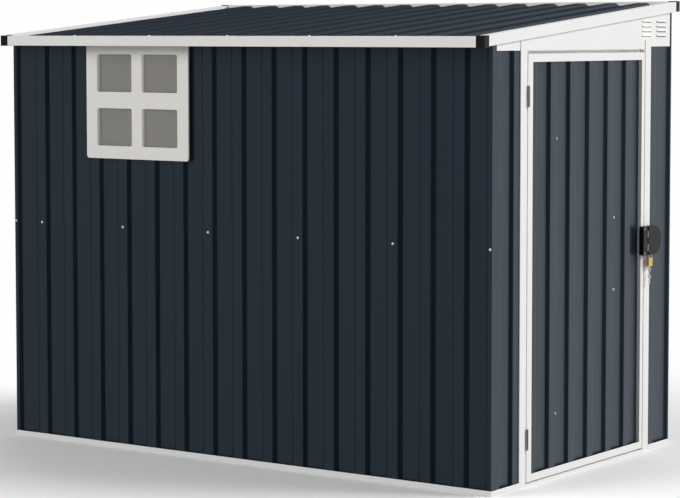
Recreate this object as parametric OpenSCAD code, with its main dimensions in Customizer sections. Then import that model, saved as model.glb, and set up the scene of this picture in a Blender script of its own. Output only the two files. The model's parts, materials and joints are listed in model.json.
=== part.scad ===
// Lean-to garden shed: a folded white frame clad in dark ribbed steel sheets, with one
// hinged door in the right end wall and one four-pane window in the front wall.
// Millimetres, +Z up. X runs along the front wall and Y from the front to the back.
// Inside the modules x = 0, y = 0 is the front left corner of the walls, and the whole
// shed is then moved so that the middle of its plan is the origin.

/* [Walls] */
// Length of the front wall over its corner strips
front_len = 2514; // [2000:1:3300]
// Depth of the end walls over their corner strips
end_depth = 1484; // [1420:1:2100]
// Top of the front wall sheets
front_wall_top = 1762; // [1740:1:2300]
// Rise of the roof over the depth of the end walls
roof_rise = 137; // [90:1:220]
// Thickness of every ribbed sheet
sheet_t = 1; // [0.6:0.1:1.4]

/* [Ribs] */
// Wanted distance from rib to rib, adjusted to suit each wall
rib_pitch = 157; // [130:1:190]
// Height of a rib over the pan beside it
rib_depth = 12; // [8:0.5:14]
// Width of the flat top of a rib
rib_top = 47; // [36:1:56]
// Width of each sloping side of a rib
rib_side = 17; // [10:1:22]
// How far the front and back ribs sit past an even spacing
rib_lead = 6; // [0:1:12]
// Corner strip shown on the front and back walls
strip_long = 17; // [12:1:30]
// Corner strip shown on the end walls
strip_end = 62; // [40:1:76]
// Corner strip shown behind the lock post
strip_lock = 8; // [4:1:30]
// From the hinge post back to the middle of the rib beside it
rib_by_hinge = 21.5; // [16:0.5:30]
// From the lock post to the middle of the rib beside it
rib_by_lock = 26.5; // [20:0.5:36]

/* [Base frame] */
// Height of the base rails
base_h = 22; // [18:1:40]
// How far the base rails stand outside the walls
base_proud = 4; // [2.5:0.5:8]
// Width of the base rails
base_w = 21.5; // [20:0.5:40]
// Sheet thickness of the white folded rails
rail_t = 1.5; // [1:0.1:2]

/* [Roof frame] */
// Height of the eave, rake and ridge rails
rail_h = 43.6; // [38:0.2:60]
// Depth of the eave and ridge rails
rail_w = 32; // [26:1:50]
// Width of the rake rails
rake_w = 40; // [34:1:50]
// How far the roof frame stands outside the end walls
rake_over = 8; // [3:1:30]
// From the front wall to the front face of the eave rail
eave_over = 72; // [60:1:140]
// From the back wall to the back face of the ridge rail
ridge_over = 58; // [50:1:140]
// Length of the black caps along the rails
cap_len = 40; // [30:1:60]
// Wall thickness of the black caps
cap_t = 1.2; // [1:0.1:2]
// How far the roof ribs lie under the tops of the rails
roof_recess = 2; // [1:0.5:6]

/* [Door] */
// From the front wall to the near side of the hinge post
post_start = 205; // [190:1:260]
// Width of each door post
post_w = 50; // [40:1:60]
// Depth of each door post
post_d = 28; // [26:1:40]
// Width of the door leaf
leaf_w = 971; // [800:1:980]
// Depth of the door leaf's frame
leaf_d = 20; // [18:1:21]
// Gap between the leaf and the posts
door_gap = 6; // [5:0.5:8]
// Gap between the leaf and the head
head_gap = 12; // [6:1:14]
// Underside of the door head, where the gable panel starts
head_z = 1739; // [1700:1:1740]
// Top of the threshold under the leaf
threshold_h = 10; // [6:1:12]
// Width of the stile on the hinge side
stile_hinge = 38; // [30:1:50]
// Width of the stile on the lock side
stile_lock = 24; // [20:1:40]
// Height of the leaf's top rail
leaf_rail_top = 32; // [26:1:50]
// Height of the leaf's bottom rail
leaf_rail_low = 30; // [26:1:50]
// From the hinge edge of the leaf to the middle of its first rib
leaf_first_rib = 50; // [45:1:60]
// Height of each hinge
hinge_h = 84; // [60:1:100]
// Radius of the hinge barrels
hinge_r = 5; // [4.5:0.1:6]
// Radius of the hinge pins
hinge_pin_r = 2; // [1.5:0.1:2.5]
// Middle of the lower hinge
hinge_low = 190; // [150:1:300]
// Middle of the upper hinge
hinge_high = 1560; // [1400:1:1620]

/* [Lock] */
// Middle of the lock cover
lock_z = 918; // [860:1:1000]
// Height of the lock cover
lock_h = 125; // [110:1:140]
// How far the lock cover stands out
lock_d = 24; // [22:1:30]
// Width of the half on the leaf
lock_leaf_w = 38; // [30:1:50]
// Width of the half on the post
lock_post_w = 112; // [100:1:120]
// Wall thickness of the lock cover
lock_t = 2.5; // [2:0.1:3]
// Width of the padlock
padlock_w = 40; // [30:1:44]
// Height of the padlock's body
padlock_h = 38; // [30:1:44]
// Thickness of the padlock
padlock_d = 13; // [10:1:14]

/* [Window] */
// From the left corner to the near side of the window
window_x = 439; // [420:1:600]
// Width of the window frame
window_w = 570; // [480:1:620]
// Underside of the window frame
window_z = 1266; // [1200:1:1300]
// Height of the window frame
window_h = 494; // [440:1:494]
// How far the window frame stands in front of the ribs
window_proud = 8; // [5:1:12]
// Edge of the window frame that covers the sheet
window_lip = 18; // [12:1:24]
// Side border of the window frame
window_side = 61; // [50:1:66]
// Bottom border of the window frame
window_low = 55; // [45:1:60]
// Top border of the window frame
window_high = 42; // [36:1:50]
// Upright bar of the window frame
window_post = 58; // [40:1:64]
// Level bar of the window frame
window_bar = 71; // [50:1:76]
// Thickness of each pane
pane_t = 3; // [2:0.5:4]

/* [Gable] */
// Width of each vent slot
vent_w = 86; // [60:1:90]
// Height of each vent slot
vent_h = 9; // [6:0.5:11]
// Distance from slot to slot
vent_step = 20.4; // [18:0.2:21]
// Gap between the two columns of slots
vent_gap = 47; // [40:1:60]
// How much higher the gable panels' lower edge is beyond the lock post
gable_step = 11; // [0:1:14]
// Thickness of the gable panels
gable_t = 1.2; // [1:0.1:1.4]

/* [Hidden] */
slope = roof_rise / end_depth;
roof_angle = atan(slope);
rib_half_top = rib_top / 2;
rib_half_foot = rib_top / 2 + rib_side;
sheet_back = rib_depth + sheet_t;
long_ribs = round(front_len / rib_pitch) - 1;
long_pitch = front_len / (long_ribs + 1);
long_sheets = 5;
end_first_rib = strip_end + 2 * rib_side + 135.5;
end_last_rib = end_depth - strip_end - 2 * rib_side - 57.5;
end_gaps = round((end_last_rib - end_first_rib) / rib_pitch);
end_pitch = (end_last_rib - end_first_rib) / end_gaps;
leaf_start = post_start + post_w + door_gap;
leaf_end = leaf_start + leaf_w;
latch_start = leaf_end + door_gap;
latch_end = latch_start + post_w;
leaf_low = threshold_h + door_gap;
leaf_high = head_z - head_gap;
door_face = front_len + base_proud;
leaf_ribs = floor((leaf_w - leaf_first_rib - stile_lock - rib_half_foot) / rib_pitch);
sheet_foot = rail_t;
eave_top = roof_line(-eave_over) + rail_h - 1.2;
ridge_top = roof_line(end_depth + ridge_over) + rail_h;
eave_back = -eave_over + rail_w;
ridge_front = end_depth + ridge_over - rail_w;
roof_sheet_drop = roof_recess + rib_depth + sheet_t;
seat = 0.3;
mid_rail_z = 970;
mid_rail_h = 40;
mid_rail_d = 20;
purlin_w = 40;
purlin_h = 25;
hinge_x = door_face + hinge_r + seat;
hinge_y = post_start + post_w + door_gap / 2;
hinge_reach = 16;
gable_low = head_z + 2;
gable_front = 28;
gable_back = 19;
joint_gap = 0.4;
padlock_y = latch_start + padlock_w / 2 + 1;
padlock_top = lock_z - lock_h / 2 - 12;
padlock_x = door_face + 16;
shackle_r = 3.5;
shackle_half = 12;
staple_hole_r = 6;
key_bow_r = 8;
key_hole_r = 2.6;
key_t = 2;
key_hole_out = key_bow_r - key_hole_r - 1.5;
ring_r = 11;
ring_wire_r = 0.9;
plan_x = (door_face + lock_d - rake_over) / 2;
plan_y = (end_depth + ridge_over - eave_over) / 2;
edge = 1;
post_tongue = 8;
tongue_h = 30;
stop_w = 24;
steel = [0.23, 0.26, 0.30];
white = [0.95, 0.95, 0.93];

// Underside of the rake rails, which is also the top of the wall sheets, at a depth y.
function roof_line(y) = front_wall_top + slope * y;
// Underside of the roof sheets' pans at a depth y.
function roof_under(y) = roof_line(y) + rail_h - roof_sheet_drop;
function reversed(list) = [for (i = [len(list) - 1:-1:0]) list[i]];
function long_rib(i) = i * long_pitch + rib_lead;
function end_rib(i) = end_first_rib + i * end_pitch;

// Outlines of a ribbed sheet are lists of [along, depth] points on its outer face.
function rib_up(c) = [[c - rib_half_foot, rib_depth], [c - rib_half_top, 0]];
function rib_down(c) = [[c + rib_half_top, 0], [c + rib_half_foot, rib_depth]];
function whole_ribs(centres) = [for (c = centres) each concat(rib_up(c), rib_down(c))];
// From the middle of one rib to the middle of another, with whole ribs between.
function lapped_sheet(first, between, last) =
    concat([[first, 0]], rib_down(first), whole_ribs(between), rib_up(last), [[last, 0]]);
// A corner strip, its fold down to the pan, and what follows it.
function strip_start(width) = [[0, 0], [width, 0], [width + rib_side, rib_depth]];

// A sheet of even depth: its outer points, then the same points one thickness in.
module sheet(points, height, thickness = sheet_t) {
    inner = [for (p = reversed(points)) [p[0], p[1] + thickness]];
    linear_extrude(height) polygon(concat(points, inner));
}

module on_back() {
    translate([0, end_depth, 0]) mirror([0, 1, 0]) children();
}

module on_left() {
    mirror([1, -1, 0]) children();
}

module on_right() {
    translate([front_len, 0, 0]) mirror([1, 0, 0]) on_left() children();
}

module mirrored_end() {
    translate([front_len, 0, 0]) mirror([1, 0, 0]) children();
}

// A side view, as [y, z] points, drawn out along X.
module side_view(points, x, width) {
    translate([x, 0, 0]) rotate([90, 0, 90]) linear_extrude(width) polygon(points);
}

// A closed folded tube along X.
module tube_x(x, y, z, size, wall) {
    difference() {
        translate([x, y, z]) cube(size);
        translate([x - edge, y + wall, z + wall])
            cube([size[0] + 2 * edge, size[1] - 2 * wall, size[2] - 2 * wall]);
    }
}

// A folded channel along Z, open towards -X, with its face at x.
module channel_z(x, y, z, depth, width, height, wall = rail_t) {
    difference() {
        translate([x - depth, y, z]) cube([depth, width, height]);
        translate([x - depth - edge, y + wall, z - edge])
            cube([depth + edge - wall, width - 2 * wall, height + 2 * edge]);
    }
}

// A folded channel along Y, open towards -X, with its face at x.
module channel_y(x, y, z, depth, length, height, wall = rail_t) {
    difference() {
        translate([x - depth, y, z]) cube([depth, length, height]);
        translate([x - depth - edge, y - edge, z + wall])
            cube([depth + edge - wall, length + 2 * edge, height - 2 * wall]);
    }
}

// Everything that lies under the rake rails.
module under_rakes() {
    points = [[-edge, sheet_foot], [end_depth + edge, sheet_foot],
              [end_depth + edge, roof_line(end_depth + edge)], [-edge, roof_line(-edge)]];
    side_view(points, -edge, front_len + 2 * edge);
}

// One base rail: an upright channel, cut at 45 degrees where it meets its neighbours.
module base_rail(length) {
    outer = -base_proud;
    inner = base_w - base_proud;
    linear_extrude(rail_t) base_outline(length, outer, inner);
    linear_extrude(base_h) {
        base_outline(length, outer, outer + rail_t);
        base_outline(length, inner - rail_t, inner);
    }
}

module base_outline(length, low, high) {
    polygon([[low, low], [length - low, low], [length - high, high], [high, high]]);
}

module base_rail_front() {
    color(white) base_rail(front_len);
}

module base_rail_back() {
    color(white) on_back() base_rail(front_len);
}

module base_rail_left() {
    color(white) on_left() base_rail(end_depth);
}

module base_rail_right() {
    color(white) difference() {
        on_right() base_rail(end_depth);
        translate([front_len - base_w, post_start, threshold_h])
            cube([2 * base_w, latch_end - post_start, base_h]);
        for (y = [post_start, latch_start])
            translate([door_face - post_d - seat, y - seat, -edge])
                cube([post_d + 2, post_w + 2 * seat, base_h + 2 * edge]);
    }
}

// A corner panel: one leg on each wall, folded along the corner.
module corner_panel(long_points, end_points) {
    sheet(long_points, front_wall_top + roof_rise);
    on_left() sheet(end_points, front_wall_top + roof_rise);
}

module corner_panel_front_left() {
    long_leg = concat(strip_start(strip_long), rib_up(long_rib(1)), [[long_rib(1), 0]]);
    end_leg = concat(strip_start(strip_end), rib_up(end_rib(0)), [[end_rib(0), 0]]);
    color(steel) intersection() {
        corner_panel(long_leg, end_leg);
        under_rakes();
    }
}

module corner_panel_front_right() {
    long_leg = strip_start(strip_long);
    end_leg = concat(strip_start(strip_end), rib_up(post_start - rib_by_hinge),
                     [[post_start - seat, 0]]);
    color(steel) intersection() {
        mirrored_end() corner_panel(long_leg, end_leg);
        under_rakes();
    }
}

module corner_panel_back_left() {
    long_leg = concat(strip_start(strip_long), rib_up(long_rib(1)), [[long_rib(1), 0]]);
    last = end_depth - end_rib(end_gaps);
    end_leg = concat(strip_start(strip_end), rib_up(last), [[last, 0]]);
    color(steel) intersection() {
        on_back() corner_panel(long_leg, end_leg);
        under_rakes();
    }
}

module corner_panel_back_right() {
    long_leg = strip_start(strip_long);
    room = end_depth - latch_end;
    end_leg = concat(strip_start(strip_lock), rib_up(room - rib_by_lock), [[room - seat, 0]]);
    color(steel) intersection() {
        mirrored_end() on_back() corner_panel(long_leg, end_leg);
        under_rakes();
    }
}

// The rib at which sheet i of a long wall starts.
function seam(i) = 1 + round(i * long_ribs / long_sheets);

// Outline of sheet i of a long wall. The last one ends in the pan beside the corner.
function long_sheet(i) =
    let (first = long_rib(seam(i)))
    let (between = [for (k = [seam(i) + 1:min(seam(i + 1) - 1, long_ribs)]) long_rib(k)])
    i < long_sheets - 1
        ? lapped_sheet(first, between, long_rib(seam(i + 1)) - joint_gap)
        : concat([[first, 0]], rib_down(first), whole_ribs(between),
                 [[front_len - strip_long - rib_side - joint_gap, rib_depth]]);

module window_cut() {
    translate([window_x + window_lip, -sheet_back, window_z + window_lip])
        cube([window_w - 2 * window_lip, 3 * sheet_back, window_h - 2 * window_lip]);
}

module front_panel(i) {
    color(steel) difference() {
        translate([joint_gap, 0, sheet_foot])
            sheet(long_sheet(i), roof_line(sheet_back) - sheet_foot);
        window_cut();
    }
}

module front_panel_1() {
    front_panel(0);
}

module front_panel_2() {
    front_panel(1);
}

module front_panel_3() {
    front_panel(2);
}

module front_panel_4() {
    front_panel(3);
}

module front_panel_5() {
    front_panel(4);
}

module back_panels() {
    color(steel) for (i = [0:long_sheets - 1])
        on_back() translate([joint_gap, 0, sheet_foot])
            sheet(long_sheet(i), roof_line(end_depth) - sheet_foot);
}

module left_panels() {
    middle = ceil(end_gaps / 2);
    near = lapped_sheet(end_rib(0), [for (i = [1:middle - 1]) end_rib(i)], end_rib(middle));
    far = lapped_sheet(end_rib(middle), [for (i = [middle + 1:end_gaps - 1]) end_rib(i)],
                       end_rib(end_gaps));
    height = gable_low + 20 - sheet_foot;
    color(steel) intersection() {
        union() {
            on_left() translate([joint_gap, 0, sheet_foot]) sheet(near, height);
            on_left() translate([2 * joint_gap, 0, sheet_foot]) sheet(far, height);
        }
        cube([front_len, end_rib(end_gaps) - joint_gap, 2 * height]);
    }
}

// A gable panel with two columns of pressed vents near its high end.
module gable_panel(x, out) {
    low_end = gable_front;
    high_end = end_depth - gable_back;
    step_at = latch_start + post_w / 2;
    points = [[low_end, gable_low], [step_at, gable_low],
              [step_at, gable_low + gable_step], [high_end, gable_low + gable_step],
              [high_end, roof_line(high_end) - seat], [low_end, roof_line(low_end) - seat]];
    last = end_depth - 56;
    columns = [last - vent_w, last - 2 * vent_w - vent_gap];
    difference() {
        side_view(points, x, gable_t);
        for (y = columns, i = [0:3])
            translate([x - edge, y, gable_low + 52 + i * vent_step])
                cube([gable_t + 2 * edge, vent_w, vent_h]);
    }
    for (y = columns, i = [0:3])
        vent_hood(x + (out > 0 ? gable_t : 0), y, gable_low + 52 + i * vent_step, out);
}

// The lip pressed out over a slot, leaning down in front of it.
module vent_hood(x, y, z, out) {
    top = z + vent_h;
    points = [[0, top], [0, top + 2], [out * 4, top - 4], [out * 4, top - 5.5]];
    translate([x, y + vent_w, 0]) rotate([90, 0, 0]) linear_extrude(vent_w) polygon(points);
}

module gable_panel_left() {
    color(white) gable_panel(-gable_t, -1);
}

module gable_panel_right() {
    color(white) difference() {
        gable_panel(front_len, 1);
        for (y = [post_start, latch_start])
            translate([front_len - edge, y - seat, gable_low - edge])
                cube([gable_t + 2 * edge, post_w + 2 * seat, post_tongue + edge + seat]);
    }
}

// A door post: an upright channel, a stop behind the leaf, and a tongue over the gable.
module door_post(y, stop_y) {
    color(white) {
        channel_z(door_face, y, 0, post_d, post_w, gable_low + post_tongue);
        translate([door_face - rail_t, y, gable_low + post_tongue - edge])
            cube([rail_t, post_w, tongue_h]);
        translate([door_face - post_d, stop_y, threshold_h])
            cube([rail_t, stop_w, head_z - threshold_h]);
    }
}

module door_post_hinge() {
    door_post(post_start, post_start + post_w - 6);
}

module door_post_latch() {
    door_post(latch_start, latch_start - 18);
}

// The head: a channel behind the gable panel with a stop hanging behind the leaf.
module door_head() {
    y = post_start + post_w + seat;
    length = latch_start - post_start - post_w - 2 * seat;
    color(white) {
        channel_y(front_len, y, head_z, post_d - base_proud, length, 30);
        translate([door_face - post_d, y + stop_w, head_z - stop_w])
            cube([rail_t, length - 2 * stop_w, stop_w + 2]);
    }
}

// One hinge's barrel and the plates beside it: the outer knuckles are the post's.
module hinge_leaf(z, outer) {
    knuckle = hinge_h / 3;
    parts = outer ? [0, 2] : [1];
    plate_y = outer ? post_start + post_w : leaf_start - rail_t;
    for (i = parts)
        translate([hinge_x, hinge_y, z - hinge_h / 2 + i * knuckle + (outer ? 0 : seat)])
            cylinder(h = knuckle - (outer ? 0 : 2 * seat), r = hinge_r, $fn = 48);
    for (i = parts)
        translate([hinge_x - hinge_reach, plate_y, z - hinge_h / 2 + i * knuckle + (outer ? 0 : seat)])
            cube([hinge_reach, rail_t, knuckle - (outer ? 0 : 2 * seat)]);
}

module post_hinge_leaves() {
    color("silver") for (z = [hinge_low, hinge_high]) {
        hinge_leaf(z, true);
        translate([hinge_x, hinge_y, z - hinge_h / 2]) cylinder(h = hinge_h, r = hinge_pin_r, $fn = 32);
    }
}

module door_hinge_leaves() {
    color("silver") for (z = [hinge_low, hinge_high]) difference() {
        hinge_leaf(z, false);
        translate([hinge_x, hinge_y, z - hinge_h / 2])
            cylinder(h = hinge_h, r = hinge_pin_r + 0.06, $fn = 32);
    }
}

// Roof pieces are drawn level, with y measured up the slope from the front wall,
// and tilted about the underside of the roof sheets.
module on_roof() {
    translate([0, 0, roof_under(0)]) rotate([roof_angle, 0, 0]) children();
}

// Outline of roof sheet i, turned over: its ribs stand up.
function roof_rib(i) = i * long_pitch;
function roof_seam(i) = round(i * long_ribs / long_sheets);
function roof_sheet(i) =
    let (between = [for (k = [roof_seam(i) + 1:roof_seam(i + 1) - 1]) roof_rib(k)])
    let (start = i == 0 ? [[rake_w - rake_over + seat, rib_depth]]
                        : concat([[roof_rib(roof_seam(i)), 0]], rib_down(roof_rib(roof_seam(i)))))
    let (stop = i == long_sheets - 1
            ? concat(rib_up(roof_rib(long_ribs)), rib_down(roof_rib(long_ribs)),
                     [[front_len - rake_w + rake_over - seat, rib_depth]])
            : concat(rib_up(roof_rib(roof_seam(i + 1))),
                     [[roof_rib(roof_seam(i + 1)) - joint_gap, 0]]))
    concat(start, whole_ribs(between), stop);

module roof_panel(i) {
    low = (eave_back + cap_t + seat + 1) / cos(roof_angle);
    high = (ridge_front - cap_t - seat - 1) / cos(roof_angle);
    color(steel) on_roof() translate([0, high, sheet_back])
        rotate([90, 0, 0]) mirror([0, 1, 0]) sheet(roof_sheet(i), high - low);
}

module roof_panel_1() {
    roof_panel(0);
}

module roof_panel_2() {
    roof_panel(1);
}

module roof_panel_3() {
    roof_panel(2);
}

module roof_panel_4() {
    roof_panel(3);
}

module roof_panel_5() {
    roof_panel(4);
}

module roof_purlins() {
    length = front_len - 2 * (rake_w - rake_over);
    color(white) for (y = [end_depth / 3, 2 * end_depth / 3])
        on_roof() tube_x(rake_w - rake_over, y, -purlin_h, [length, purlin_w, purlin_h], rail_t);
}

module eave_rail() {
    length = front_len + 2 * (rake_over - cap_t);
    color(white) tube_x(cap_t - rake_over, -eave_over, eave_top - rail_h,
                        [length, rail_w, rail_h], cap_t);
}

module ridge_rail() {
    length = front_len + 2 * (rake_over - cap_t);
    color(white) tube_x(cap_t - rake_over, ridge_front, ridge_top - rail_h,
                        [length, rail_w, rail_h], cap_t);
}

module rake_rail(x) {
    low = eave_back + cap_t;
    high = ridge_front - cap_t;
    color(white) difference() {
        side_view([[low, roof_line(low)], [high, roof_line(high)],
                   [high, roof_line(high) + rail_h], [low, roof_line(low) + rail_h]], x, rake_w);
        side_view([[low - edge, roof_line(low - edge) + cap_t],
                   [high + edge, roof_line(high + edge) + cap_t],
                   [high + edge, roof_line(high + edge) + rail_h - cap_t],
                   [low - edge, roof_line(low - edge) + rail_h - cap_t]],
                  x + cap_t, rake_w - 2 * cap_t);
    }
}

module rake_rail_left() {
    rake_rail(-rake_over);
}

module rake_rail_right() {
    rake_rail(front_len + rake_over - rake_w);
}

// A black cap pushed over the left end of a rail, closed on its outer side.
module rail_cap(y, z) {
    difference() {
        translate([-rake_over, y - cap_t, z - cap_t])
            cube([cap_len, rail_w + 2 * cap_t, rail_h + 2 * cap_t]);
        translate([cap_t - rake_over, y, z]) cube([cap_len, rail_w, rail_h]);
    }
}

module rail_caps() {
    color([0.08, 0.08, 0.08]) {
        rail_cap(-eave_over, eave_top - rail_h);
        rail_cap(ridge_front, ridge_top - rail_h);
        mirrored_end() rail_cap(-eave_over, eave_top - rail_h);
        mirrored_end() rail_cap(ridge_front, ridge_top - rail_h);
    }
}

module wall_top_rails() {
    x = rake_w - rake_over;
    length = front_len - 2 * x;
    front_z = roof_line(sheet_back);
    front_h = roof_under(0) - front_z - seat;
    back_z = roof_line(end_depth);
    back_h = roof_under(end_depth - post_d) - back_z - seat;
    color(white) {
        tube_x(x, 0, front_z, [length, post_d, front_h], rail_t);
        tube_x(x, end_depth - post_d, back_z, [length, post_d, back_h], rail_t);
    }
}

module mid_rails() {
    x = sheet_back + mid_rail_d + 6;
    size = [front_len - 2 * x, mid_rail_d, mid_rail_h];
    side_start = sheet_back + mid_rail_d + 6;
    side_size = [end_depth - 2 * side_start, mid_rail_d, mid_rail_h];
    z = mid_rail_z - mid_rail_h / 2;
    color(white) {
        tube_x(x, sheet_back, z, size, rail_t);
        on_back() tube_x(x, sheet_back, z, size, rail_t);
        on_left() tube_x(side_start, sheet_back, z, side_size, rail_t);
    }
}

// The four pane openings of the window, as [x, z] of the low corners.
pane_w = (window_w - 2 * window_side - window_post) / 2;
pane_h = (window_h - window_low - window_high - window_bar) / 2;
function pane_corners() = [for (i = [0, 1], j = [0, 1])
    [window_x + window_side + i * (pane_w + window_post), window_z + window_low + j * (pane_h + window_bar)]];

// An upright slab facing the front, with rounded corners.
module rounded_slab(x, y, z, width, depth, height, r) {
    translate([x, y + depth, z]) rotate([90, 0, 0]) linear_extrude(depth) union() {
        translate([r, 0]) square([width - 2 * r, height]);
        translate([0, r]) square([width, height - 2 * r]);
        for (u = [r, width - r], v = [r, height - r])
            translate([u, v]) circle(r, $fn = 48);
    }
}

module window_frame() {
    rebate = 6;
    pane_y = 4;
    color(white) difference() {
        union() {
            rounded_slab(window_x, -window_proud, window_z, window_w, window_proud, window_h, 14);
            translate([window_x + window_lip + seat, -edge, window_z + window_lip + seat])
                cube([window_w - 2 * (window_lip + seat), 18, window_h - 2 * (window_lip + seat)]);
        }
        for (c = pane_corners()) {
            rounded_slab(c[0], -2 * window_proud, c[1], pane_w, 5 * window_proud, pane_h, 8);
            translate([c[0] - rebate, pane_y, c[1] - rebate])
                cube([pane_w + 2 * rebate, 4 * window_proud, pane_h + 2 * rebate]);
        }
    }
}

module window_panes() {
    rebate = 6;
    pane_y = 4;
    color([0.6, 0.6, 0.58, 0.5]) for (c = pane_corners())
        translate([c[0] - rebate + seat, pane_y, c[1] - rebate + seat])
            cube([pane_w + 2 * rebate - 2 * seat, pane_t, pane_h + 2 * rebate - 2 * seat]);
}

// Face of the lock cover, looked at from outside: square by the hinge side, round beyond.
module cover_face(inset) {
    r = lock_h / 2 - inset;
    corner = 10 - inset;
    low = leaf_end - lock_leaf_w + inset;
    high = latch_start + lock_post_w - lock_h / 2;
    translate([low + corner, -r]) square([high - low - corner, 2 * r]);
    translate([low, corner - r]) square([corner, 2 * r - 2 * corner]);
    for (v = [corner - r, r - corner]) translate([low + corner, v]) circle(corner, $fn = 48);
    translate([high, 0]) circle(r, $fn = 96);
}

module cover_shell() {
    translate([door_face, 0, lock_z]) rotate([90, 0, 90]) difference() {
        linear_extrude(lock_d) cover_face(0);
        translate([0, 0, -edge]) linear_extrude(lock_d - lock_t + edge) cover_face(lock_t);
    }
}

module lock_cover_door() {
    color([0.07, 0.07, 0.07]) difference() {
        cover_shell();
        translate([0, leaf_end, 0]) cube([2 * front_len, lock_post_w * 2, 2 * lock_z]);
    }
}

module lock_cover_post() {
    color([0.07, 0.07, 0.07]) {
        difference() {
            cover_shell();
            translate([0, latch_start - 2 * lock_h, 0]) cube([2 * front_len, 2 * lock_h, 2 * lock_z]);
            translate([door_face + 6, padlock_y - shackle_half - 6, lock_z - lock_h])
                cube([lock_d - 8, 2 * shackle_half + 12, lock_h / 2 + 2 * lock_t]);
        }
        lock_staple();
    }
}

// The staple behind the cover that the padlock's shackle hangs in.
module lock_staple() {
    z = padlock_top + 26;
    difference() {
        translate([door_face, padlock_y - 2, z - 11]) cube([lock_d - lock_t, 4, 22]);
        translate([padlock_x, padlock_y - 6, z]) rotate([-90, 0, 0])
            cylinder(h = 12, r = staple_hole_r, $fn = 48);
    }
}

module padlock() {
    arch_z = padlock_top + 26 - staple_hole_r + shackle_r + 0.1 - shackle_half;
    color([0.80, 0.68, 0.30])
        translate([padlock_x - padlock_d / 2, padlock_y - padlock_w / 2, padlock_top - padlock_h])
            cube([padlock_d, padlock_w, padlock_h]);
    color("silver") {
        for (s = [-shackle_half, shackle_half])
            translate([padlock_x, padlock_y + s, padlock_top - edge])
                cylinder(h = arch_z - padlock_top + edge, r = shackle_r, $fn = 32);
        translate([padlock_x, padlock_y, arch_z]) rotate([90, 0, 90])
            rotate_extrude(angle = 180, $fn = 48) translate([shackle_half, 0]) circle(shackle_r, $fn = 24);
    }
}

// A key's bow and shank, with the bow's middle at z.
module key(z, up) {
    difference() {
        translate([padlock_x, padlock_y - key_t / 2, z]) rotate([-90, 0, 0])
            cylinder(h = key_t, r = key_bow_r, $fn = 48);
        translate([padlock_x, padlock_y - key_t, z + (up ? -1 : 1) * key_hole_out])
            rotate([-90, 0, 0]) cylinder(h = 2 * key_t, r = key_hole_r, $fn = 24);
    }
    shank = up ? 6 : 26;
    translate([padlock_x - 3.5, padlock_y - key_t / 2, up ? z + key_bow_r - 2 : z - key_bow_r - shank + 2])
        cube([7, key_t, shank]);
}

module padlock_keys() {
    play = key_hole_r - ring_wire_r - seat / 2;
    first = padlock_top - padlock_h - key_bow_r - 4;
    ring = first - key_hole_out - play - ring_r;
    second = ring - ring_r - play - key_hole_out;
    color("silver") {
        key(first, true);
        translate([padlock_x, padlock_y, ring])
            rotate([90, 0, 90]) rotate_extrude($fn = 64) translate([ring_r, 0])
                circle(ring_wire_r, $fn = 16);
        key(second, false);
    }
}

// The leaf's ribbed sheet stands between its stiles and rails.
module door_panel() {
    start = leaf_start + stile_hinge;
    stop = leaf_end - stile_lock;
    first = leaf_start + leaf_first_rib;
    centres = [for (i = [1:leaf_ribs]) first + i * rib_pitch];
    points = concat([[start, 0]], rib_down(first), whole_ribs(centres), [[stop, rib_depth]]);
    color(steel) translate([0, 0, leaf_low + leaf_rail_low])
        on_right() sheet(points, leaf_high - leaf_rail_top - leaf_low - leaf_rail_low);
}

module door_stiles() {
    color(white) for (s = [[leaf_start, stile_hinge], [leaf_end - stile_lock, stile_lock]])
        channel_z(door_face, s[0], leaf_low, leaf_d, s[1], leaf_high - leaf_low);
}

module door_rails() {
    start = leaf_start + stile_hinge;
    length = leaf_w - stile_hinge - stile_lock;
    color(white) {
        channel_y(door_face, start, leaf_low, leaf_d, length, leaf_rail_low);
        channel_y(door_face, start, leaf_high - leaf_rail_top, leaf_d, length, leaf_rail_top);
    }
}

// A flat bar behind the leaf's sheet, between two [y, z] ends of its middle line.
module brace(from, to) {
    run = to[0] - from[0];
    rise = to[1] - from[1];
    translate([front_len - sheet_back - 2, from[0], from[1]])
        rotate([atan2(rise, run), 0, 0]) translate([0, 0, -15])
            cube([2, sqrt(run * run + rise * rise), 30]);
}

module door_braces() {
    meet = leaf_end - stile_lock - 98;
    side = leaf_start + stile_hinge + 12;
    color(white) {
        brace([side, leaf_high - leaf_rail_top - 150], [meet, lock_z + 12]);
        brace([side, leaf_low + leaf_rail_low + 34], [meet, lock_z - 50]);
    }
}

// Moves a piece from the walls' own corner to the middle of the shed's plan.
module placed() {
    translate([-plan_x, -plan_y, 0]) children();
}

placed() base_rail_front();
placed() base_rail_back();
placed() base_rail_left();
placed() base_rail_right();
placed() corner_panel_front_left();
placed() corner_panel_front_right();
placed() corner_panel_back_left();
placed() corner_panel_back_right();
placed() front_panel_1();
placed() front_panel_2();
placed() front_panel_3();
placed() front_panel_4();
placed() front_panel_5();
placed() back_panels();
placed() left_panels();
placed() gable_panel_left();
placed() gable_panel_right();
placed() door_post_hinge();
placed() door_post_latch();
placed() door_head();
placed() post_hinge_leaves();
placed() roof_panel_1();
placed() roof_panel_2();
placed() roof_panel_3();
placed() roof_panel_4();
placed() roof_panel_5();
placed() eave_rail();
placed() ridge_rail();
placed() rake_rail_left();
placed() rake_rail_right();
placed() rail_caps();
placed() wall_top_rails();
placed() mid_rails();
placed() roof_purlins();
placed() window_frame();
placed() window_panes();
placed() lock_cover_post();
placed() padlock();
placed() padlock_keys();
placed() door_panel();
placed() door_stiles();
placed() door_rails();
placed() door_braces();
placed() door_hinge_leaves();
placed() lock_cover_door();
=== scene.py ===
"""Lean-to garden shed: rolled folds, coatings, screws and lock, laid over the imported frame."""

import json
import math

import bmesh
import bpy
from mathutils import Matrix, Vector

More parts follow.
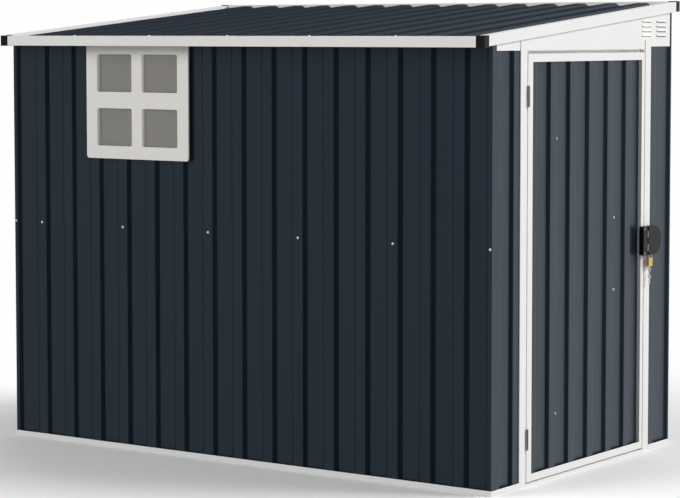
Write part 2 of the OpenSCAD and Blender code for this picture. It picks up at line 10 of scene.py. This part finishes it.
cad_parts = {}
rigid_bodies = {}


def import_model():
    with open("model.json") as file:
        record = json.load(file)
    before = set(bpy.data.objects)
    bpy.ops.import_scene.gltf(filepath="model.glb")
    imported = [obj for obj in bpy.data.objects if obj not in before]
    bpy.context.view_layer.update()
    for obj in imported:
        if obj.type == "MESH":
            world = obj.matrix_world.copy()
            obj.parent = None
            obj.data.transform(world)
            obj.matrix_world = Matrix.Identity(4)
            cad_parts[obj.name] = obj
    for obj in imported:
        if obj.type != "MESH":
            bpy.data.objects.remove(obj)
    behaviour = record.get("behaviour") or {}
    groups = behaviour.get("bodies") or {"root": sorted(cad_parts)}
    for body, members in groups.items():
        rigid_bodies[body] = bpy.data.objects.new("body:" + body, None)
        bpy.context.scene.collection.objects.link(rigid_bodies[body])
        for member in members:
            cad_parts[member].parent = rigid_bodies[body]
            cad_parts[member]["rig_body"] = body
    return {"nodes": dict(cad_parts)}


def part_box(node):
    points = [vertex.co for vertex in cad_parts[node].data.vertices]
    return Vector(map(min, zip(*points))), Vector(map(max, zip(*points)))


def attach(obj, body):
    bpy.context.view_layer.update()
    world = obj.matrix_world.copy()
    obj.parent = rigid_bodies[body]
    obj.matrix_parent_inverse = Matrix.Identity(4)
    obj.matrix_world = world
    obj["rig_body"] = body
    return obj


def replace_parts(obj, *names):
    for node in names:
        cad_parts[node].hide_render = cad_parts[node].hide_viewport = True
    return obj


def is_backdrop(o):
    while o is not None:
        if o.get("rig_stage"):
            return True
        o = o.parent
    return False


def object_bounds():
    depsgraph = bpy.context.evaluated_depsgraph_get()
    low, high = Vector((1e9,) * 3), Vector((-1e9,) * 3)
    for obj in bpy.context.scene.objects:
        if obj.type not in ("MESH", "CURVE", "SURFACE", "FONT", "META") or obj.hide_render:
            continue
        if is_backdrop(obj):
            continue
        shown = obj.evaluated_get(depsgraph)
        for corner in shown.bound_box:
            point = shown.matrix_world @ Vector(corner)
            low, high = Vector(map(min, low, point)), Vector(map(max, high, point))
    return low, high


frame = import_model()
cad_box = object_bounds()

MM = 0.001
RIVET_RISE = 2.2 * MM

# Colours as linear red, green and blue.
ANTHRACITE = (0.0100, 0.0150, 0.0250)
ANTHRACITE_DEEP = (0.0080, 0.0125, 0.0215)
PRIMER = (0.33, 0.32, 0.30)
WHITE_COAT = (0.86, 0.86, 0.845)
WHITE_COAT_SHADE = (0.82, 0.82, 0.805)
WINDOW_WHITE = (0.80, 0.785, 0.745)
PANE_TINT = (0.36, 0.35, 0.33)
BLACK = (0.0075, 0.0070, 0.0065)
BRASS = (0.72, 0.50, 0.17)
STEEL = (0.55, 0.55, 0.56)


# Shader maths

class Value:
    """A node's output, so that arithmetic on it is written as arithmetic."""

    def __init__(self, nodes, made, output=0):
        self.nodes = nodes
        self.made = made
        self.socket = made.outputs[output] if made.outputs else None

    def out(self, output):
        return Value(self.nodes, self.made, output)

    def maths(self, operation, *operands):
        return self.nodes.node("ShaderNodeMath", {"operation": operation}, dict(enumerate(operands)))

    def __add__(self, other):
        return self.maths("ADD", self, other)

    def __radd__(self, other):
        return self.maths("ADD", other, self)

    def __sub__(self, other):
        return self.maths("SUBTRACT", self, other)

    def __rsub__(self, other):
        return self.maths("SUBTRACT", other, self)

    def __mul__(self, other):
        return self.maths("MULTIPLY", self, other)

    def __rmul__(self, other):
        return self.maths("MULTIPLY", other, self)

    def __truediv__(self, other):
        return self.maths("DIVIDE", self, other)

    def clamped(self):
        return self.maths("MINIMUM", self.maths("MAXIMUM", self, 0.0), 1.0)


class Nodes:
    """The nodes of one material or world."""

    def __init__(self, tree):
        self.tree = tree
        tree.nodes.clear()

    def node(self, kind, settings=None, inputs=None):
        made = self.tree.nodes.new(kind)
        for name, value in (settings or {}).items():
            setattr(made, name, value)
        for name, value in (inputs or {}).items():
            if isinstance(value, Value):
                self.tree.links.new(value.socket, made.inputs[name])
            else:
                made.inputs[name].default_value = value
        return Value(self, made)

    def blend(self, share, first, second):
        first, second = (c if isinstance(c, Value) else (*c, 1.0) for c in (first, second))
        return self.node("ShaderNodeMix", {"data_type": "RGBA"}, {0: share, 6: first, 7: second}).out(2)

    def place(self, stretch=(1, 1, 1)):
        """Where a point is on its piece, in metres, stretched along each axis."""
        where = self.node("ShaderNodeTexCoord").out("Object")
        return self.node("ShaderNodeVectorMath", {"operation": "MULTIPLY"}, {0: where, 1: stretch})

    def cloud(self, scale, detail=2.0, stretch=(1, 1, 1)):
        """Even noise from 0 to 1, with so many patches to the metre."""
        inputs = {"Vector": self.place(stretch), "Scale": scale, "Detail": detail}
        return self.node("ShaderNodeTexNoise", {}, inputs)

    def relief(self, height, distance, strength=1.0, under=None):
        inputs = {"Height": height, "Distance": distance, "Strength": strength}
        if under is not None:
            inputs["Normal"] = under
        return self.node("ShaderNodeBump", {}, inputs)


def surface(name, varied, plain=None):
    """A finish with one shader: varied(nodes) gives its changing sockets, plain its fixed ones."""
    material = bpy.data.materials.new(name)
    material.use_nodes = True
    nodes = Nodes(material.node_tree)
    sockets = dict(plain or {})
    sockets.update(varied(nodes))
    shader = nodes.node("ShaderNodeBsdfPrincipled", {}, sockets)
    nodes.node("ShaderNodeOutputMaterial", {}, {"Surface": shader})
    return material


# Finishes

def coated_sheet(name, light, dark, roughness, gloss):
    """Thin coated steel: slow changes of tone down the sheet, faint waves and a fine skin."""
    def varied(nodes):
        tone = nodes.cloud(5.0, 3.0, (1.0, 1.0, 0.22))
        waves = nodes.cloud(3.0, 1.0, (1.0, 1.0, 0.3))
        skin = nodes.cloud(900.0, 1.0)
        rub = nodes.cloud(26.0, 4.0, (1.0, 1.0, 0.12))
        normal = nodes.relief(skin, 0.02 * MM, 0.6, nodes.relief(waves, 1.2 * MM, 0.35))
        return {"Base Color": nodes.blend(tone, dark, light),
                "Roughness": roughness + (rub - 0.5) * 0.12,
                "Normal": normal}
    plain = {"Specular IOR Level": gloss, "Specular Tint": (0.64, 0.89, 1.0, 1.0)}
    return surface(name, varied, plain)


def white_steel(name):
    """White powder coat on folded rails: an even satin with a fine orange peel."""
    def varied(nodes):
        tone = nodes.cloud(4.0, 3.0)
        peel = nodes.cloud(420.0, 2.0)
        rub = nodes.cloud(18.0, 3.0)
        return {"Base Color": nodes.blend(tone, WHITE_COAT_SHADE, WHITE_COAT),
                "Roughness": 0.42 + (rub - 0.5) * 0.12,
                "Normal": nodes.relief(peel, 0.04 * MM, 0.5)}
    return surface(name, varied, {"Specular IOR Level": 0.45})


def primer_back(name):
    """The grey backing coat on the inner face of the sheets."""
    def varied(nodes):
        tone = nodes.cloud(6.0, 4.0, (1.0, 1.0, 0.3))
        darker = tuple(0.84 * c for c in PRIMER)
        return {"Base Color": nodes.blend(tone, darker, PRIMER),
                "Roughness": 0.55 + (tone - 0.5) * 0.1,
                "Normal": nodes.relief(nodes.cloud(500.0, 1.0), 0.03 * MM, 0.5)}
    return surface(name, varied)


def moulded_plastic(name, colour, roughness, grain, specular=0.5):
    """Injection moulded plastic with a lightly sparked skin."""
    def varied(nodes):
        tone = nodes.cloud(9.0, 2.0)
        lighter = tuple(min(1.0, 1.06 * c + 0.001) for c in colour)
        spark = nodes.cloud(grain, 3.0)
        return {"Base Color": nodes.blend(tone, colour, lighter),
                "Roughness": roughness + (spark - 0.5) * 0.14,
                "Normal": nodes.relief(spark, 0.06 * MM, 0.5)}
    return surface(name, varied, {"Specular IOR Level": specular})


def clouded_pane(name):
    """Milky sheet plastic that lets most of the light through."""
    def varied(nodes):
        haze = nodes.cloud(3.0, 2.0)
        wave = nodes.cloud(7.0, 1.0)
        return {"Base Color": nodes.blend(haze, tuple(0.94 * c for c in PANE_TINT), PANE_TINT),
                "Alpha": 0.27 + (haze - 0.5) * 0.06,
                "Roughness": 0.16 + (haze - 0.5) * 0.06,
                "Normal": nodes.relief(wave, 0.6 * MM, 0.4)}
    return surface(name, varied, {"Specular IOR Level": 0.5})


def worked_metal(name, colour, roughness, stretch, wear=0.85):
    """Bare or plated metal with fine drawn lines and a duller film here and there."""
    def varied(nodes):
        film = nodes.cloud(130.0, 3.0)
        lines = nodes.cloud(700.0, 2.0, stretch)
        dull = tuple(wear * c for c in colour)
        return {"Base Color": nodes.blend(film, dull, colour),
                "Roughness": roughness + (film - 0.5) * 0.2,
                "Normal": nodes.relief(lines, 0.02 * MM, 0.6)}
    return surface(name, varied, {"Metallic": 1.0})


FINISH = {
    "wall_sheet": coated_sheet("wall_sheet_coat", ANTHRACITE, ANTHRACITE_DEEP, 0.34, 0.5),
    "roof_sheet": coated_sheet("roof_sheet_coat", ANTHRACITE, ANTHRACITE_DEEP, 0.42, 0.4),
    "white_frame": white_steel("white_powder_coat"),
    "window_plastic": moulded_plastic("window_plastic_white", WINDOW_WHITE, 0.42, 260.0),
    "window_pane": clouded_pane("clouded_pane"),
    "black_plastic": moulded_plastic("black_plastic_grained", BLACK, 0.40, 340.0, 0.16),
    "hinge_steel": worked_metal("hinge_steel_zinc", STEEL, 0.38, (1, 1, 0.1)),
    "padlock_brass": worked_metal("padlock_brass_drawn", BRASS, 0.30, (1, 0.08, 1)),
    "key_steel": worked_metal("key_steel_plated", (0.72, 0.72, 0.73), 0.22, (1, 1, 0.1)),
}
PRIMER_BACK = primer_back("sheet_backing_coat")


# Making pieces

def body_of(node):
    return frame["nodes"][node]["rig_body"]


def piece_from(bm, name, slot, body, finishes=None, crease=46.0):
    """Turns a built mesh into a piece with rounded edges shaded as round and flats as flat."""
    limit = math.radians(crease)
    bmesh.ops.recalc_face_normals(bm, faces=bm.faces)
    for face in bm.faces:
        face.smooth = True
    for line in bm.edges:
        line.smooth = len(line.link_faces) == 2 and line.calc_face_angle(0.0) < limit
    mesh = bpy.data.meshes.new(name)
    bm.to_mesh(mesh)
    bm.free()
    for finish in finishes or [FINISH[slot]]:
        mesh.materials.append(finish)
    piece = bpy.data.objects.new(name, mesh)
    bpy.context.scene.collection.objects.link(piece)
    piece.modifiers.new("even_shading", "WEIGHTED_NORMAL").keep_sharp = True
    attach(piece, body)
    return piece


def solid_of(node):
    """A node's solid with its flat faces whole again."""
    bm = bmesh.new()
    bm.from_mesh(frame["nodes"][node].data)
    bmesh.ops.remove_doubles(bm, verts=bm.verts, dist=0.01 * MM)
    bmesh.ops.dissolve_limit(bm, angle_limit=math.radians(0.4), verts=bm.verts, edges=bm.edges)
    return bm


def width_beside(line, face):
    return face.calc_area() / line.calc_length()


def round_edges(bm, radius, steps, least_angle, least_length, most_angle=100.0):
    """Rounds the edges that turn enough, are long enough and have room on both sides."""
    chosen = []
    for line in bm.edges:
        if len(line.link_faces) != 2 or line.calc_length() < least_length:
            continue
        turn = math.degrees(line.calc_face_angle(0.0))
        roomy = all(width_beside(line, f) > 2.2 * radius for f in line.link_faces)
        if least_angle < turn < most_angle and roomy:
            chosen.append(line)
    bmesh.ops.bevel(bm, geom=chosen, offset=radius, offset_type="OFFSET", segments=steps,
                    profile=0.5, affect="EDGES", clamp_overlap=True)


def looks_inwards(normal, centre):
    """Whether a face of the walls or the roof is on the inside of the shed."""
    if abs(normal.z) > 0.7:
        return normal.z < 0 and centre.z > 1.5
    axis = 0 if abs(normal.x) > abs(normal.y) else 1
    return normal[axis] * centre[axis] < 0


def rolled_sheet(node, slot, tuck=0.0):
    """A ribbed sheet with its folds rolled, coated outside and primed inside. Its ends are
    tucked that far into the rails above and below it."""
    bm = solid_of(node)
    low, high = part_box(node)
    for corner in bm.verts:
        if corner.co.z - low.z < 0.1 * MM:
            corner.co.z -= tuck
        elif high.z - corner.co.z < 0.1 * MM:
            corner.co.z += tuck
    round_edges(bm, 2.6 * MM, 3, 12.0, 0.15, 60.0)
    bm.normal_update()
    for face in bm.faces:
        face.material_index = int(looks_inwards(face.normal, face.calc_center_median()))
    piece = piece_from(bm, node + "_sheet", slot, body_of(node), [FINISH[slot], PRIMER_BACK])
    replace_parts(piece, node)


def folded_rail(node, radius=1.1 * MM, slot="white_frame"):
    """A rail or post with its long folds rounded."""
    bm = solid_of(node)
    round_edges(bm, radius, 3, 30.0, 0.12)
    piece = piece_from(bm, node + "_folded", slot, body_of(node))
    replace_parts(piece, node)


def moulded(node, radius, slot, lower_face=0.0):
    """A moulded or turned piece with all its outer edges rounded, its +X face lowered a little."""
    bm = solid_of(node)
    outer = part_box(node)[1].x
    for corner in bm.verts:
        if outer - corner.co.x < 0.1 * MM:
            corner.co.x -= lower_face
    round_edges(bm, radius, 3, 40.0, 1.0 * MM)
    piece = piece_from(bm, node + "_moulded", slot, body_of(node))
    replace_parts(piece, node)


def finish_node(node, slot):
    """Gives a carried-over piece its finish."""
    shown = frame["nodes"][node]
    shown.data.materials.clear()
    shown.data.materials.append(FINISH[slot])


# Walls, roof and frame

def clad_shed():
    for corner in ("front_left", "front_right", "back_left", "back_right"):
        rolled_sheet("corner_panel_" + corner, "wall_sheet")
    for number in range(1, 6):
        rolled_sheet(f"front_panel_{number}", "wall_sheet")
        rolled_sheet(f"roof_panel_{number}", "roof_sheet")
    for node in ("back_panels", "left_panels"):
        rolled_sheet(node, "wall_sheet")


def frame_shed():
    for side in ("front", "back", "left", "right"):
        folded_rail("base_rail_" + side)
    for node in ("eave_rail", "ridge_rail", "rake_rail_left", "rake_rail_right",
                 "door_post_hinge", "door_post_latch", "door_stiles"):
        folded_rail(node)
    for node in ("door_head", "wall_top_rails", "mid_rails", "roof_purlins",
                 "door_braces", "gable_panel_left", "gable_panel_right"):
        finish_node(node, "white_frame")


# Door

def channel_rail(bm, low, high, opens_up, wall=1.5 * MM):
    """A folded channel along Y, open upwards or downwards, that holds a sheet's end."""
    shut, lip = (low.z, high.z) if opens_up else (high.z, low.z)
    inside = shut + wall if opens_up else shut - wall
    outline = [(low.x, shut), (high.x, shut), (high.x, lip), (high.x - wall, lip),
               (high.x - wall, inside), (low.x + wall, inside), (low.x + wall, lip), (low.x, lip)]
    near, far = ([bm.verts.new((x, y, z)) for x, z in outline] for y in (low.y, high.y))
    bm.faces.new(near)
    bm.faces.new(far)
    for k in range(len(outline)):
        after = (k + 1) % len(outline)
        bm.faces.new((near[k], near[after], far[after], far[k]))


def hang_door():
    """The leaf's sheet stands tucked into channel rails, and turns on two hinges."""
    rolled_sheet("door_panel", "wall_sheet", 24 * MM)
    low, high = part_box("door_rails")
    sheet_low, sheet_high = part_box("door_panel")
    bm = bmesh.new()
    channel_rail(bm, low, Vector((high.x, high.y, sheet_low.z)), True)
    channel_rail(bm, Vector((low.x, low.y, sheet_high.z)), high, False)
    bmesh.ops.recalc_face_normals(bm, faces=bm.faces)
    round_edges(bm, 0.6 * MM, 2, 30.0, 0.12)
    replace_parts(piece_from(bm, "door_rails_folded", "white_frame", "door"), "door_rails")
    moulded("post_hinge_leaves", 0.6 * MM, "hinge_steel")
    moulded("door_hinge_leaves", 0.6 * MM, "hinge_steel")


# Window

def fit_window():
    moulded("window_frame", 2.2 * MM, "window_plastic")
    finish_node("window_panes", "window_pane")


# Screws

def screw_head(bm, at, out, radius):
    """A domed head on a thin flange, with a recess for the driver."""
    rings = [(1.0, 0.0), (1.0, 0.12), (0.82, 0.16), (0.76, 0.34), (0.58, 0.48), (0.34, 0.54),
             (0.28, 0.34)]
    sides = 14
    turn = Vector((0, 0, 1)).rotation_difference(out).to_matrix().to_4x4()
    put = Matrix.Translation(at) @ turn
    loops = []
    for share, rise in rings:
        loop = []
        for k in range(sides):
            angle = 2 * math.pi * k / sides
            flat = Vector((math.cos(angle), math.sin(angle), 0)) * share * radius
            loop.append(bm.verts.new(put @ (flat + Vector((0, 0, rise * radius)))))
        loops.append(loop)
    for low, high in zip(loops, loops[1:]):
        for k in range(sides):
            bm.faces.new((low[k], low[(k + 1) % sides], high[(k + 1) % sides], high[k]))
    bm.faces.new(loops[-1])
    bm.faces.new(reversed(loops[0]))


def screws(name, places, slot, body, radius=5.5 * MM):
    """A set of like screws, each given as where it stands and which way it looks."""
    bm = bmesh.new()
    for at, out in places:
        screw_head(bm, Vector(at), Vector(out).normalized(), radius)
    return piece_from(bm, name, slot, body)


def mid_height():
    low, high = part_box("mid_rails")
    return (low.z + high.z) / 2


def sheet_joints():
    """Where the sheets of the long walls lap, along X."""
    return [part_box(f"front_panel_{number}")[0].x for number in range(1, 6)]


def wall_screws():
    level = mid_height()
    in_from_corner = 8 * MM
    ends = [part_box("corner_panel_front_left")[0].x + in_from_corner,
            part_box("corner_panel_front_right")[1].x - in_from_corner]
    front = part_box("front_panel_1")[0].y
    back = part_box("back_panels")[1].y
    along = sheet_joints() + ends
    screws("front_wall_screws", [((x, front, level), (0, -1, 0)) for x in along],
           "white_frame", "shed")
    screws("back_wall_screws", [((x, back, level), (0, 1, 0)) for x in along],
           "white_frame", "shed")
    low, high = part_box("left_panels")
    middle = low.y + (high.y - low.y) * 4 / 7
    screws("left_wall_screws",
           [((low.x, y, level), (-1, 0, 0)) for y in (low.y, middle, high.y)],
           "white_frame", "shed")


def roof_screws():
    low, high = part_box("eave_rail")
    step = (high.x - low.x) / 6
    middle_x = (low.x + high.x) / 2
    middle_y = (low.y + high.y) / 2
    places = [((middle_x + k * step, middle_y, high.z), (0, 0, 1)) for k in range(-2, 3)]
    for end in ("left", "right"):
        low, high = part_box("rake_rail_" + end)
        run = high.y - low.y
        rise = high.z - low.z - rail_height()
        x = (low.x + high.x) / 2
        for share in (0.17, 0.55):
            at = (x, low.y + share * run, low.z + rail_height() + share * rise)
            places.append((at, (0, -rise, run)))
    screws("roof_rail_screws", places, "white_frame", "shed")


def rail_height():
    low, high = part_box("eave_rail")
    return high.z - low.z


def door_screws():
    """Screws through the pans of the leaf's sheet into its two braces."""
    low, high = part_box("door_braces")
    pan = high.x + 1.0 * MM
    near, far = low.y + 212 * MM, high.y - 124 * MM
    upper = (high.z - 20 * MM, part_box("lock_cover_door")[1].z - 38 * MM)
    lower = (low.z - 14 * MM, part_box("lock_cover_door")[0].z - 10 * MM)
    places = []
    for start, stop in (upper, lower):
        for y in (near, far):
            share = (y - low.y) / (high.y - low.y)
            places.append(((pan, y, start + share * (stop - start)), (1, 0, 0)))
    screws("door_sheet_screws", places, "white_frame", "door")


# Lock

def fit_lock():
    moulded("lock_cover_door", 2.4 * MM, "black_plastic", RIVET_RISE)
    moulded("lock_cover_post", 2.4 * MM, "black_plastic")
    low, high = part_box("lock_cover_door")
    middle = (low.z + high.z) / 2
    gap_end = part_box("lock_cover_post")[0].y - 0.5 * MM
    slit_bar("hasp_tongue", "black_plastic", (low.x + 13 * MM, high.y - 0.5 * MM, middle - 12 * MM),
             (high.x - 0.5 * MM, gap_end, middle + 12 * MM))
    for name, start, stop in (("hasp_plate_upper", 13, 42), ("hasp_plate_lower", -46, -13)):
        slit_bar(name, "key_steel", (low.x + 2 * MM, high.y + 0.2 * MM, middle + start * MM),
                 (high.x - 1.5 * MM, gap_end, middle + stop * MM))
    inset = 9 * MM
    face = high.x - RIVET_RISE
    rivets = [((face, low.y + inset, z), (1, 0, 0)) for z in (low.z + inset, high.z - inset)]
    screws("lock_cover_rivets", rivets, "key_steel", "door", 4.0 * MM)


def block(low, high):
    """A plain block between two corners, ready to be worked."""
    bm = bmesh.new()
    bmesh.ops.create_cube(bm, size=1.0)
    size = Vector(high) - Vector(low)
    centre = (Vector(high) + Vector(low)) / 2
    bmesh.ops.transform(bm, matrix=Matrix.Translation(centre) @ Matrix.Diagonal((*size, 1.0)),
                        verts=bm.verts)
    return bm


def slit_bar(name, slot, low, high):
    """A flat bar of the hasp that stands in the slit between the halves of the cover."""
    bm = block(low, high)
    bmesh.ops.bevel(bm, geom=list(bm.edges), offset=1.0 * MM, segments=2, profile=0.5,
                    affect="EDGES", clamp_overlap=True)
    piece_from(bm, name, slot, "door")


def tube_along(bm, points, radius, sides=16):
    """A round bar through the points, closed at both ends."""
    loops = []
    for i, at in enumerate(points):
        ahead = points[min(i + 1, len(points) - 1)] - points[max(i - 1, 0)]
        across = Vector((1, 0, 0))
        up = ahead.normalized().cross(across)
        loops.append([bm.verts.new(at + radius * (math.cos(a) * across + math.sin(a) * up))
                      for a in (2 * math.pi * k / sides for k in range(sides))])
    for one, two in zip(loops, loops[1:]):
        for k in range(sides):
            bm.faces.new((one[k], one[(k + 1) % sides], two[(k + 1) % sides], two[k]))
    bm.faces.new(loops[0])
    bm.faces.new(loops[-1])


def hang_padlock():
    """A brass body with a plated shackle, and the keys on their ring under it."""
    low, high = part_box("padlock")
    centre = (low + high) / 2
    shackle_r = 3.5 * MM
    half = 12 * MM
    arch = high.z - shackle_r - half
    body_top = low.z + 38 * MM
    bm = block(low, (high.x, high.y, body_top))
    upright = [e for e in bm.edges if abs((e.verts[0].co - e.verts[1].co).z) > 1 * MM]
    bmesh.ops.bevel(bm, geom=upright, offset=3.2 * MM, segments=4, profile=0.5, affect="EDGES")
    round_edges(bm, 1.2 * MM, 2, 50.0, 1.0 * MM)
    faces = [f for f in bm.faces if abs(f.normal.x) > 0.99 and f.calc_area() > 400 * MM * MM]
    made = bmesh.ops.inset_individual(bm, faces=faces, thickness=3.0 * MM, depth=0.0)
    bmesh.ops.inset_individual(bm, faces=faces, thickness=0.5 * MM, depth=-0.5 * MM)
    bodies = piece_from(bm, "padlock_body", "padlock_brass", "shed")
    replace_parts(bodies, "padlock")

    bm = bmesh.new()
    bend = [Vector((centre.x, centre.y + half * math.cos(a), arch + half * math.sin(a)))
            for a in (math.pi * k / 18 for k in range(19))]
    legs = [Vector((centre.x, centre.y + s * half, body_top - 1 * MM)) for s in (1, -1)]
    tube_along(bm, [legs[0], *bend, legs[1]], shackle_r)
    piece_from(bm, "padlock_shackle", "key_steel", "shed")
    moulded("padlock_keys", 0.3 * MM, "key_steel")


def cap_rails():
    moulded("rail_caps", 0.5 * MM, "black_plastic")


# Studio

def stage_shader(name, build):
    material = bpy.data.materials.new(name)
    material.use_nodes = True
    nodes = Nodes(material.node_tree)
    nodes.node("ShaderNodeOutputMaterial", {}, {"Surface": build(nodes)})
    return material


def pale_floor():
    """A pale floor that keeps the shed's shadow and runs out to white."""
    def build(nodes):
        path = nodes.node("ShaderNodeLightPath")
        where = nodes.node("ShaderNodeTexCoord").out("Object")
        away = nodes.node("ShaderNodeVectorMath", {"operation": "LENGTH"}, {0: where}).out("Value")
        share = ((away - 1.4) / 1.7).clamped()
        near = nodes.node("ShaderNodeBsdfDiffuse", {}, {"Color": (0.93, 0.93, 0.93, 1.0)})
        white = nodes.node("ShaderNodeEmission", {}, {"Color": (1.0, 1.0, 1.0, 1.0)})
        bounce = nodes.node("ShaderNodeBsdfDiffuse", {}, {"Color": (0.34, 0.34, 0.34, 1.0)})
        seen = nodes.node("ShaderNodeMixShader", {}, {0: share, 1: near, 2: white})
        return nodes.node("ShaderNodeMixShader", {},
                          {0: path.out("Is Diffuse Ray"), 1: seen, 2: bounce})
    bm = bmesh.new()
    bmesh.ops.create_circle(bm, cap_ends=True, radius=60.0, segments=64)
    floor = stage_piece(bm, "studio_floor", stage_shader("floor_paper", build))
    floor.visible_glossy = False


def stage_piece(bm, name, material):
    mesh = bpy.data.meshes.new(name)
    bm.to_mesh(mesh)
    bm.free()
    mesh.materials.append(material)
    made = bpy.data.objects.new(name, mesh)
    bpy.context.scene.collection.objects.link(made)
    made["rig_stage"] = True
    return made


def screen(name, start, stop, shade):
    """A curved grey screen that only shows in the gloss, between two compass angles."""
    def build(nodes):
        return nodes.node("ShaderNodeEmission", {}, {"Color": (shade, shade, shade, 1.0)})
    radius, low, high = 9.0, -6.0, 14.0
    steps = 12
    bm = bmesh.new()
    rows = []
    for k in range(steps + 1):
        angle = math.radians(start + (stop - start) * k / steps)
        across = Vector((math.cos(angle), math.sin(angle), 0)) * radius
        rows.append([bm.verts.new(across + Vector((0, 0, z))) for z in (low, high)])
    for one, two in zip(rows, rows[1:]):
        bm.faces.new((one[0], two[0], two[1], one[1]))
    made = stage_piece(bm, name, stage_shader(name + "_cloth", build))
    made.visible_camera = False
    made.visible_diffuse = False
    made.visible_shadow = False
    made.visible_transmission = False


def soft_sun(name, compass, height, strength):
    """A broad soft lamp far away, at a compass angle and a height in degrees."""
    lamp = bpy.data.lights.new(name, "SUN")
    lamp.energy = strength
    lamp.angle = math.radians(36)
    made = bpy.data.objects.new(name, lamp)
    a, e = math.radians(compass), math.radians(height)
    towards = Vector((math.cos(a) * math.cos(e), math.sin(a) * math.cos(e), math.sin(e)))
    made.rotation_euler = towards.to_track_quat("Z", "Y").to_euler()
    made.visible_glossy = False
    bpy.context.scene.collection.objects.link(made)


def inside_lamp():
    """A weak lamp inside, so that the panes show the far wall."""
    lamp = bpy.data.lights.new("inside_lamp", "POINT")
    lamp.energy = 26.0
    lamp.shadow_soft_size = 0.08
    made = bpy.data.objects.new("inside_lamp", lamp)
    made.location = (0.75, 0.05, 1.45)
    made.visible_camera = False
    made.visible_glossy = False
    bpy.context.scene.collection.objects.link(made)


def studio():
    world = bpy.data.worlds.new("studio")
    world.use_nodes = True
    bpy.context.scene.world = world
    nodes = Nodes(world.node_tree)
    path = nodes.node("ShaderNodeLightPath")
    seen = path.out("Is Camera Ray") + path.out("Is Glossy Ray") + path.out("Is Transmission Ray")
    ambient = 0.34
    strength = ambient + (1.0 - ambient) * seen.clamped()
    sky = nodes.node("ShaderNodeBackground", {}, {"Color": (1.0, 1.0, 1.0, 1.0), "Strength": strength})
    nodes.node("ShaderNodeOutputWorld", {}, {"Surface": sky})
    pale_floor()
    screen("dark_screen", -96.0, 4.0, 0.01)
    screen("grey_screen", -160.0, -98.0, 0.46)
    screen("roof_screen", 92.0, 200.0, 0.035)
    soft_sun("front_lamp", -128.0, 26.0, 1.75)
    soft_sun("end_lamp", 38.0, 32.0, 3.0)
    inside_lamp()
    bpy.context.scene.view_settings.view_transform = "Standard"


def set_camera():
    data = bpy.data.cameras.new("camera")
    data.sensor_width = 36.0
    data.lens = 125.05
    data.shift_x = -0.0202
    data.shift_y = -0.08
    data.clip_end = 300.0
    camera = bpy.data.objects.new("camera", data)
    camera.location = (6.055, -8.518, 1.810)
    camera.rotation_euler = (math.radians(90 - 3.915), 0.0, math.radians(35.069))
    bpy.context.scene.collection.objects.link(camera)
    bpy.context.scene.camera = camera


set_camera()
studio()
clad_shed()
frame_shed()
fit_window()
cap_rails()
wall_screws()
roof_screws()
hang_door()
door_screws()
fit_lock()
hang_padlock()

visual_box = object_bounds()
[[list(corner) for corner in box] for box in (cad_box, visual_box)]
